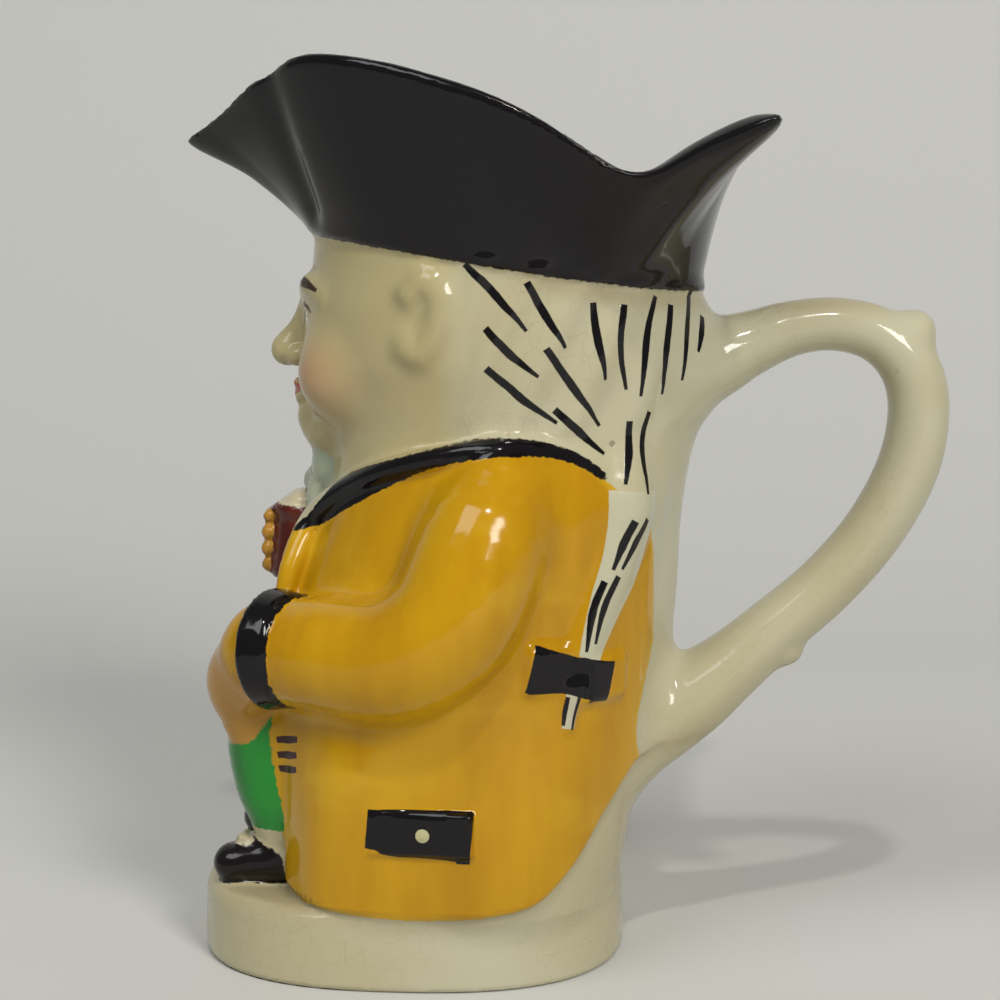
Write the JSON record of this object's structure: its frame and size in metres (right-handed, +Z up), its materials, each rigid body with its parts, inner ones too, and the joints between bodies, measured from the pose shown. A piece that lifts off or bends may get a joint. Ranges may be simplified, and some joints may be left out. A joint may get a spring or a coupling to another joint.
{
  "type": "toby jug",
  "caption": "Hollow glazed earthenware jug shaped as a seated figure in a three-cornered hat, with a pouring spout at the front of the brim and a loop handle behind",
  "frame": {"origin": "middle of the flat underside, where the jug rests", "axes": "+Z up; the figure faces -Y, so the spout points to -Y and the handle to +Y; +X is the figure's left"},
  "size_m": [0.0909, 0.1307, 0.155],
  "materials": {
    "glaze": "hand-painted under a clear gloss glaze: ochre yellow coat, black hat and trimmings, green breeches, cream ground"
  },
  "bodies": {
    "root": {"toby_jug": "glaze"}
  },
  "joints": []
}
